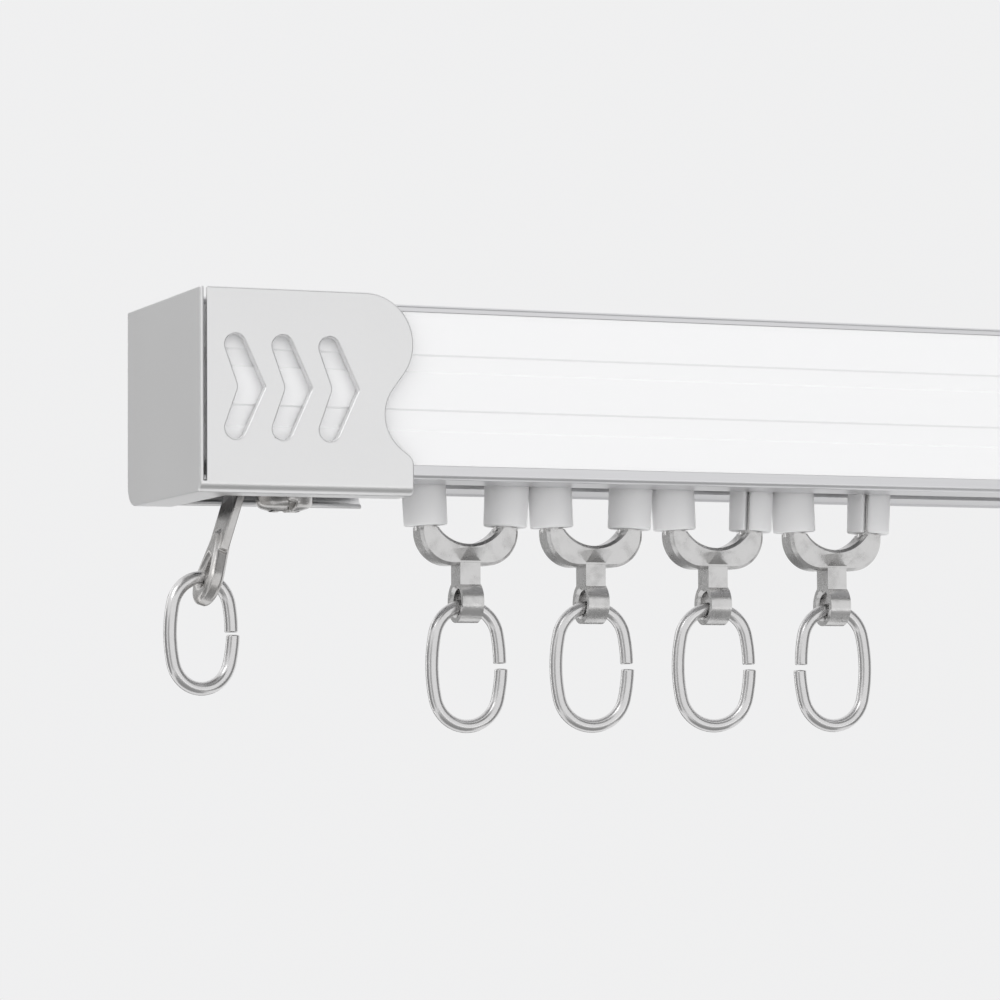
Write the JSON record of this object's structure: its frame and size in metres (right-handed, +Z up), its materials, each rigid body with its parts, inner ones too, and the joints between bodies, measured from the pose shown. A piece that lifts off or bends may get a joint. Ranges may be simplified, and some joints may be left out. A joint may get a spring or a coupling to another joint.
{
  "type": "curtain track",
  "caption": "Straight curtain track with a white-faced aluminium rail, folded metal end caps, end hooks and wheeled runners that carry open oval rings.",
  "frame": {"origin": "centre of the rail's flat top face, where ceiling clips hold it", "axes": "+X along the rail to the right as seen from its white face, +Y from that face towards the wall, +Z up"},
  "size_m": [0.6008, 0.046, 0.0821],
  "materials": {
    "rail_aluminium": "satin anodised",
    "white_strip": "satin white",
    "cap_steel": "satin plated sheet",
    "nickel_plate": "nickel plated",
    "nickel_wire": "bright nickel plated wire",
    "cast_nickel": "nickel plated casting",
    "plain_steel": "zinc plated",
    "collar_plastic": "translucent grey nylon",
    "wheel_plastic": "white acetal"
  },
  "bodies": {
    "root": {"rail": "rail_aluminium", "face_strip": "white_strip", "end_cap_left": "cap_steel", "end_cap_right": "cap_steel", "end_hook_left": "nickel_plate", "end_hook_right": "nickel_plate", "hook_screw_left": "nickel_plate", "hook_screw_right": "nickel_plate", "slide_nut_left": "plain_steel", "slide_nut_right": "plain_steel"},
    "runner_1": {"runner_1_yoke": "cast_nickel", "runner_1_collar_left": "collar_plastic", "runner_1_collar_right": "collar_plastic"},
    "runner_1_wheelset_left": {"runner_1_axle_left": "plain_steel", "runner_1_wheel_left_front": "wheel_plastic", "runner_1_wheel_left_rear": "wheel_plastic"},
    "runner_1_wheelset_right": {"runner_1_axle_right": "plain_steel", "runner_1_wheel_right_front": "wheel_plastic", "runner_1_wheel_right_rear": "wheel_plastic"},
    "runner_1_loop": {"runner_1_ring": "nickel_wire"},
    "runner_2": {"runner_2_yoke": "cast_nickel", "runner_2_collar_left": "collar_plastic", "runner_2_collar_right": "collar_plastic"},
    "runner_2_wheelset_left": {"runner_2_axle_left": "plain_steel", "runner_2_wheel_left_front": "wheel_plastic", "runner_2_wheel_left_rear": "wheel_plastic"},
    "runner_2_wheelset_right": {"runner_2_axle_right": "plain_steel", "runner_2_wheel_right_front": "wheel_plastic", "runner_2_wheel_right_rear": "wheel_plastic"},
    "runner_2_loop": {"runner_2_ring": "nickel_wire"},
    "runner_3": {"runner_3_yoke": "cast_nickel", "runner_3_collar_left": "collar_plastic", "runner_3_collar_right": "collar_plastic"},
    "runner_3_wheelset_left": {"runner_3_axle_left": "plain_steel", "runner_3_wheel_left_front": "wheel_plastic", "runner_3_wheel_left_rear": "wheel_plastic"},
    "runner_3_wheelset_right": {"runner_3_axle_right": "plain_steel", "runner_3_wheel_right_front": "wheel_plastic", "runner_3_wheel_right_rear": "wheel_plastic"},
    "runner_3_loop": {"runner_3_ring": "nickel_wire"},
    "runner_4": {"runner_4_yoke": "cast_nickel", "runner_4_collar_left": "collar_plastic", "runner_4_collar_right": "collar_plastic"},
    "runner_4_wheelset_left": {"runner_4_axle_left": "plain_steel", "runner_4_wheel_left_front": "wheel_plastic", "runner_4_wheel_left_rear": "wheel_plastic"},
    "runner_4_wheelset_right": {"runner_4_axle_right": "plain_steel", "runner_4_wheel_right_front": "wheel_plastic", "runner_4_wheel_right_rear": "wheel_plastic"},
    "runner_4_loop": {"runner_4_ring": "nickel_wire"},
    "end_loop_left": {"end_ring_left": "nickel_wire"},
    "end_loop_right": {"end_ring_right": "nickel_wire"}
  },
  "joints": [
    {"name": "runner_1_slide", "type": "slide", "parent": "root", "child": "runner_1", "axis": [1, 0, 0], "range_m": [0, 0.09875]},
    {"name": "runner_1_wheelset_left_spin", "type": "hinge", "parent": "runner_1", "child": "runner_1_wheelset_left", "pos_m": [-0.24759, 0, -0.027], "axis": [0, 1, 0], "continuous": true},
    {"name": "runner_1_wheelset_right_spin", "type": "hinge", "parent": "runner_1", "child": "runner_1_wheelset_right", "pos_m": [-0.22961, 0, -0.027], "axis": [0, 1, 0], "continuous": true},
    {"name": "runner_1_ring_swing", "type": "hinge", "parent": "runner_1", "child": "runner_1_loop", "pos_m": [-0.2386, 0, -0.05572], "axis": [0.9994, 0.0349, 0], "range_deg": [-80, 80]},
    {"name": "runner_2_slide", "type": "slide", "parent": "root", "child": "runner_2", "axis": [1, 0, 0], "range_m": [0, 0.1975]},
    {"name": "runner_2_wheelset_left_spin", "type": "hinge", "parent": "runner_2", "child": "runner_2_wheelset_left", "pos_m": [-0.22109, 0, -0.027], "axis": [0, 1, 0], "continuous": true},
    {"name": "runner_2_wheelset_right_spin", "type": "hinge", "parent": "runner_2", "child": "runner_2_wheelset_right", "pos_m": [-0.20311, 0, -0.027], "axis": [0, 1, 0], "continuous": true},
    {"name": "runner_2_ring_swing", "type": "hinge", "parent": "runner_2", "child": "runner_2_loop", "pos_m": [-0.2121, 0, -0.05572], "axis": [0.9903, -0.1392, 0], "range_deg": [-80, 80]},
    {"name": "runner_3_slide", "type": "slide", "parent": "root", "child": "runner_3", "axis": [1, 0, 0], "range_m": [0, 0.29625]},
    {"name": "runner_3_wheelset_left_spin", "type": "hinge", "parent": "runner_3", "child": "runner_3_wheelset_left", "pos_m": [-0.19459, 0, -0.027], "axis": [0, 1, 0], "continuous": true},
    {"name": "runner_3_wheelset_right_spin", "type": "hinge", "parent": "runner_3", "child": "runner_3_wheelset_right", "pos_m": [-0.17661, 0, -0.027], "axis": [0, 1, 0], "continuous": true},
    {"name": "runner_3_ring_swing", "type": "hinge", "parent": "runner_3", "child": "runner_3_loop", "pos_m": [-0.1856, 0, -0.05572], "axis": [0.9781, -0.2079, 0], "range_deg": [-80, 80]},
    {"name": "runner_4_slide", "type": "slide", "parent": "root", "child": "runner_4", "axis": [1, 0, 0], "range_m": [0, 0.395]},
    {"name": "runner_4_wheelset_left_spin", "type": "hinge", "parent": "runner_4", "child": "runner_4_wheelset_left", "pos_m": [-0.16809, 0, -0.027], "axis": [0, 1, 0], "continuous": true},
    {"name": "runner_4_wheelset_right_spin", "type": "hinge", "parent": "runner_4", "child": "runner_4_wheelset_right", "pos_m": [-0.15011, 0, -0.027], "axis": [0, 1, 0], "continuous": true},
    {"name": "runner_4_ring_swing", "type": "hinge", "parent": "runner_4", "child": "runner_4_loop", "pos_m": [-0.1591, 0, -0.05572], "axis": [1, 0, 0], "range_deg": [-80, 80]},
    {"name": "end_ring_left_swing", "type": "hinge", "parent": "root", "child": "end_loop_left", "pos_m": [-0.29086, 0, -0.05119], "axis": [0.9816, 0.1908, 0], "range_deg": [-80, 80]},
    {"name": "end_ring_right_swing", "type": "hinge", "parent": "root", "child": "end_loop_right", "pos_m": [0.29086, 0, -0.05119], "axis": [0.9816, -0.1908, 0], "range_deg": [-80, 80]}
  ],
  "couplings": [
    {"joint": "runner_1_slide", "follows": "runner_4_slide", "ratio": 0.25},
    {"joint": "runner_1_wheelset_left_spin", "follows": "runner_4_slide", "rad_per_m": 62.5},
    {"joint": "runner_1_wheelset_right_spin", "follows": "runner_4_slide", "rad_per_m": 62.5},
    {"joint": "runner_2_slide", "follows": "runner_4_slide", "ratio": 0.5},
    {"joint": "runner_2_wheelset_left_spin", "follows": "runner_4_slide", "rad_per_m": 125},
    {"joint": "runner_2_wheelset_right_spin", "follows": "runner_4_slide", "rad_per_m": 125},
    {"joint": "runner_3_slide", "follows": "runner_4_slide", "ratio": 0.75},
    {"joint": "runner_3_wheelset_left_spin", "follows": "runner_4_slide", "rad_per_m": 187.5},
    {"joint": "runner_3_wheelset_right_spin", "follows": "runner_4_slide", "rad_per_m": 187.5},
    {"joint": "runner_4_wheelset_left_spin", "follows": "runner_4_slide", "rad_per_m": 250},
    {"joint": "runner_4_wheelset_right_spin", "follows": "runner_4_slide", "rad_per_m": 250}
  ]
}
